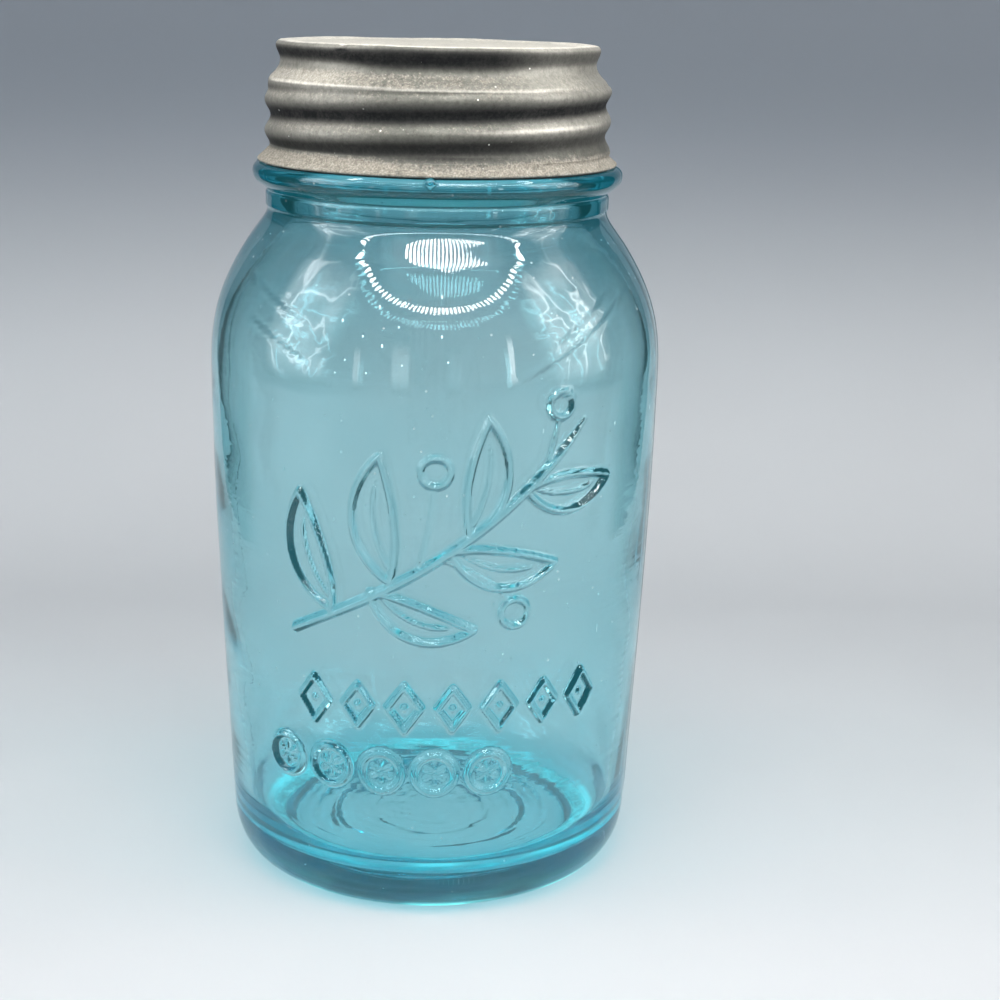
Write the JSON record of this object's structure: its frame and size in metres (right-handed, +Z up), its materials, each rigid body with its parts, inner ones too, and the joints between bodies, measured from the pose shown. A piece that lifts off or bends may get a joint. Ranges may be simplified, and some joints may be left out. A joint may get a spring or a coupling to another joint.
{
  "type": "screw-cap canning jar",
  "caption": "Aqua glass canning jar with a tapered side, round shoulder and beaded neck, closed by a rolled zinc screw cap with an opal glass liner and a rubber ring.",
  "frame": {"origin": "centre of the resting plane under the base", "axes": "+Z up along the jar's axis; the raised ornament faces -Y"},
  "size_m": [0.0972, 0.0972, 0.1793],
  "materials": {
    "aqua_glass": "gloss, old pressed glass with slight waviness and small bubbles",
    "opal_glass": "gloss, opaque white",
    "rubber": "matt, aged",
    "zinc": "dull oxidised sheet zinc with pale powdery patches"
  },
  "bodies": {
    "jar": {"glass_jar": "aqua_glass", "rubber_ring": "rubber"},
    "liner": {"opal_liner": "opal_glass"},
    "cap": {"zinc_cap": "zinc"}
  },
  "joints": [
    {"name": "cap_rise", "type": "slide", "parent": "jar", "child": "liner", "axis": [0, 0, 1], "range_m": [0, 0.0254]},
    {"name": "cap_turn", "type": "hinge", "parent": "liner", "child": "cap", "pos_m": [0, 0, 0.165], "axis": [0, 0, 1], "range_deg": [0, 1440]}
  ],
  "couplings": [
    {"joint": "cap_rise", "follows": "cap_turn", "m_per_rad": 0.0010106}
  ]
}
